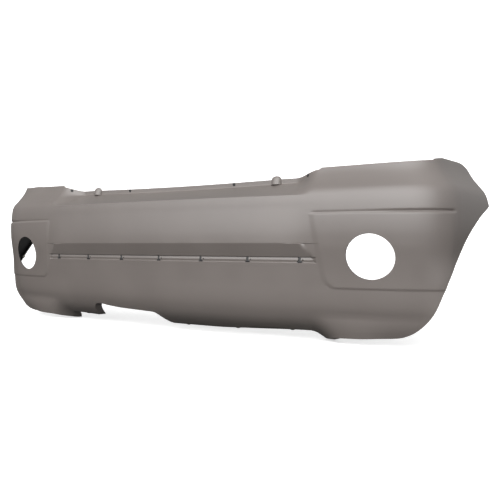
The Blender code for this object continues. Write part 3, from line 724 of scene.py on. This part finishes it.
def buildGrommets():
    # screw grommet: chamfered head before the flange, shank, barb behind it
    g = grommet
    back = skin["wall"] + 2 * g["gap"]
    front = -g["thick"] - g["gap"]
    profile = [(g["bore"], -g["gap"] - 0.0007), (g["bore"] + 0.0009, front), (g["head"] - 0.0010, front),
               (g["head"], front + 0.0006), (g["head"], -g["gap"]), (g["shank"], -g["gap"]),
               (g["shank"], back), (g["barb"], back), (g["barb"] - 0.0004, back + 0.0008),
               (g["shank"] + 0.0002, back + 0.0040), (g["bore"], back + 0.0040)]
    for i in range(4):
        node = f"flange_grommet_{i + 1}"
        turnedPiece(f"screw_grommet_{i + 1}", node, "cover", profile, flangeFrame(centreOf(node).x),
                    blackNylon)


pushRivet = {"bore": 0.0023, "head": 0.0080, "shank": 0.0039, "thick": 0.0018, "gap": 0.0006,
             "pinHead": 0.0046, "pinStem": 0.0019, "pinHeight": 0.0012}


def buildPushRivets():
    # sleeve with a dished head under the edge, ribbed shank through it; domed pin inside it
    r = pushRivet
    above = skin["wall"] + r["gap"]
    for i in range(4):
        low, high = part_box(f"push_rivet_{i + 1}")
        base = low.z + r["gap"] + r["thick"]
        spot = Matrix.Translation(((low.x + high.x) / 2, (low.y + high.y) / 2, base))
        under = -r["gap"] - r["thick"]
        profile = [(r["bore"], under), (r["head"] - 0.0016, under), (r["head"] - 0.0004, under + 0.0005),
                   (r["head"], under + 0.0011), (r["head"], -r["gap"]), (r["shank"], -r["gap"]),
                   (r["shank"], above), (r["shank"] + 0.0008, above + 0.0012),
                   (r["shank"] + 0.0002, above + 0.0024), (r["shank"] + 0.0004, above + 0.0030),
                   (r["shank"] - 0.0008, above + 0.0060), (r["bore"], above + 0.0060)]
        turnedPiece(f"push_rivet_sleeve_{i + 1}", f"push_rivet_{i + 1}", "cover", profile, spot,
                    blackNylon)
        low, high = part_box(f"rivet_pin_{i + 1}")
        tall = high.z - low.z
        spot = Matrix.Translation(((low.x + high.x) / 2, (low.y + high.y) / 2, low.z))
        profile = [(0.0, 0.0), (0.0022, 0.00012), (0.0037, 0.0004), (r["pinHead"], 0.0009),
                   (r["pinHead"], r["pinHeight"]), (r["pinStem"], r["pinHeight"]),
                   (r["pinStem"], tall - 0.0010), (r["pinStem"] - 0.0006, tall), (0.0, tall)]
        turnedPiece(f"push_rivet_pin_{i + 1}", f"rivet_pin_{i + 1}", f"pin_{i + 1}", profile, spot,
                    blackNylon, edge=0.00015)


blindRivet = {"head": 0.0040, "shank": 0.0020, "thick": 0.0013, "gap": 0.0003, "bulb": 0.0032}


def buildBlindRivets():
    # low domed head with the broken mandrel's pit in it, formed bulb underneath
    b = blindRivet
    for end in ("rear", "front"):
        for side in ("left", "right"):
            node = f"bracket_rivet_{end}_{side}"
            low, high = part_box(node)
            top = b["thick"] + b["gap"] + 0.0003
            spot = Matrix.Translation(((low.x + high.x) / 2, (low.y + high.y) / 2, high.z - top))
            deep = low.z - (high.z - top)
            profile = [(0.0, top - 0.0007), (0.0009, top - 0.0007), (0.0013, top), (0.0024, top - 0.0002),
                       (0.0035, top - 0.0008), (b["head"], b["gap"]), (b["shank"], b["gap"]),
                       (b["shank"], deep + 0.0035), (b["bulb"], deep + 0.0030), (0.0030, deep + 0.0008),
                       (0.0022, deep), (0.0, deep)]
            turnedPiece(f"blind_rivet_{end}_{side}", node, "cover", profile, spot, rivetAluminium,
                        edge=0.00015)


def refinedPiece(name, node, body, material, edge):
    # a folded or moulded part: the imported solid, merged and with its edges rounded
    mesh = frame["nodes"][node].data.copy()
    mesh.materials.clear()
    bm = bmesh.new()
    bm.from_mesh(mesh)
    bmesh.ops.remove_doubles(bm, verts=bm.verts, dist=0.00002)
    bmesh.ops.dissolve_limit(bm, angle_limit=math.radians(1.0), verts=bm.verts, edges=bm.edges)
    bm.to_mesh(mesh)
    bm.free()
    ob = addObject(name, mesh)
    ob.data.materials.append(material)
    bevel = ob.modifiers.new("edge", "BEVEL")
    bevel.width = edge
    bevel.segments = 3
    bevel.limit_method = "ANGLE"
    bevel.angle_limit = math.radians(40)
    applied(ob)
    smoothShade(ob, 40)
    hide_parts(node)
    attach(ob, body)


buildGrommets()
buildPushRivets()
buildBlindRivets()
for i in range(clip["count"]):
    refinedPiece(f"strip_clip_{i + 1}", f"trim_clip_{i + 1}", "cover", blackNylon, 0.0004)
for side in ("left", "right"):
    refinedPiece(f"wing_bracket_{side}", f"arch_bracket_{side}", "cover", bracketPlastic,
                 0.0006)
    for level in ("lower", "upper"):
        refinedPiece(f"liner_nut_{level}_{side}", f"spring_nut_{level}_{side}", "cover", platedSteel,
                     0.0002)
print("stage: small parts")


studio = {"floor": (0.92, 0.92, 0.92), "glow": 0.55, "sky": 0.72, "ground": 0.09,
          "horizon": (-0.05, 0.10),
          "facing": (0.90, -0.45, 0.0), "even": 0.72, "spread": 0.42,
          "patch": (0.12, -0.95, 0.27), "patchEdge": (0.40, 0.95), "patchLight": 2.9,
          "camera": (1.292, -1.6322, 0.25), "turn": 34.0, "lens": 48.6, "shift": -0.0126}
lights = {
    "top_softbox": {"at": (0.5, -0.9, 3.2), "aim": (0, 0, 0.2), "size": 3.2, "power": 8.0},
    "front_softbox": {"at": (1.6, -3.6, 1.6), "aim": (0, 0, 0.25), "size": 2.4, "power": 8.0},
}


def buildSweep():
    # floor running level, then up a quarter circle and a wall, far behind the object
    half, near, far, radius, tall = 60.0, -200.0, 11.0, 3.0, 9.0
    turn = np.linspace(0, math.pi / 2, 13)
    along = np.concatenate([[near], far + radius * np.sin(turn), [far + radius]])
    height = np.concatenate([[0.0], radius * (1 - np.cos(turn)), [tall]])
    heading = math.radians(studio["turn"])
    ahead = np.array([-math.sin(heading), math.cos(heading)])
    side = np.array([math.cos(heading), math.sin(heading)])
    across = np.array([-half, half])
    flat = along[:, None, None] * ahead + across[None, :, None] * side
    points = np.concatenate([flat, height[:, None, None] + 0 * flat[..., :1]], -1)
    faces = gridFaces(len(along), 2)
    sweep = addObject("studio_sweep", meshFrom("studio_sweep", points.reshape(-1, 3), faces))
    m = Shader("pale_sweep")
    grain = m.noise(m.placed(), 3.0, 3.0)
    colour = studio["floor"]
    m.set(Base_Color=m.blend(grain * 0.05, colour, tuple(c * 0.95 for c in colour)), Roughness=0.9,
          Emission_Color=m.blend(grain * 0.05, colour, tuple(c * 0.95 for c in colour)),
          Emission_Strength=studio["glow"])
    sweep.data.materials.append(m.material)
    sweep.visible_diffuse = False
    sweep.visible_glossy = False


def buildLights():
    # large square lights aimed at the object
    for name, spec in lights.items():
        lamp = bpy.data.lights.new(name, "AREA")
        lamp.shape = "SQUARE"
        lamp.size = spec["size"]
        lamp.energy = spec["power"]
        ob = bpy.data.objects.new(name, lamp)
        ob.location = spec["at"]
        toward = Vector(spec["aim"]) - Vector(spec["at"])
        ob.rotation_euler = toward.to_track_quat("-Z", "Y").to_euler()
        bpy.context.scene.collection.objects.link(ob)


def buildSky():
    # bright above the horizon and dim below it, stronger from the side the cover faces, with one
    # soft bright patch ahead of it
    world = bpy.data.worlds.new("studio_sky")
    bpy.context.scene.world = world
    world.use_nodes = True
    sky = Nodes(world.node_tree)
    toward = sky.node("TexCoord", output="Generated")
    height = sky.node("SeparateXYZ", inputs={0: toward}, output="Z")
    facing, patch = (sky.node("VectorMath", {"operation": "DOT_PRODUCT"},
                              {0: toward, 1: studio[key]}, "Value") for key in ("facing", "patch"))
    even = sky.smooth(height, *studio["horizon"], studio["ground"], studio["sky"])
    soft = sky.smooth(patch, *studio["patchEdge"], 0.0, studio["patchLight"])
    strength = even * (facing * studio["spread"] + studio["even"])
    strength = strength + soft * sky.smooth(height, *studio["horizon"])
    background = sky.tree.nodes["Background"].inputs
    sky.feed(background["Strength"], strength)
    background["Color"].default_value = (1, 1, 1, 1)


def buildCamera():
    # level camera, turned about the vertical, raised by a small shift
    camera = bpy.data.cameras.new("studio_camera")
    camera.lens = studio["lens"]
    camera.sensor_width = 36.0
    camera.shift_y = studio["shift"]
    camera.clip_end = 100.0
    ob = bpy.data.objects.new("studio_camera", camera)
    ob.location = studio["camera"]
    ob.rotation_euler = (math.radians(90), 0, math.radians(studio["turn"]))
    bpy.context.scene.collection.objects.link(ob)
    bpy.context.scene.camera = ob


buildSweep()
buildLights()
buildSky()
buildCamera()
bpy.context.scene.view_settings.view_transform = "Standard"
print("stage: studio")
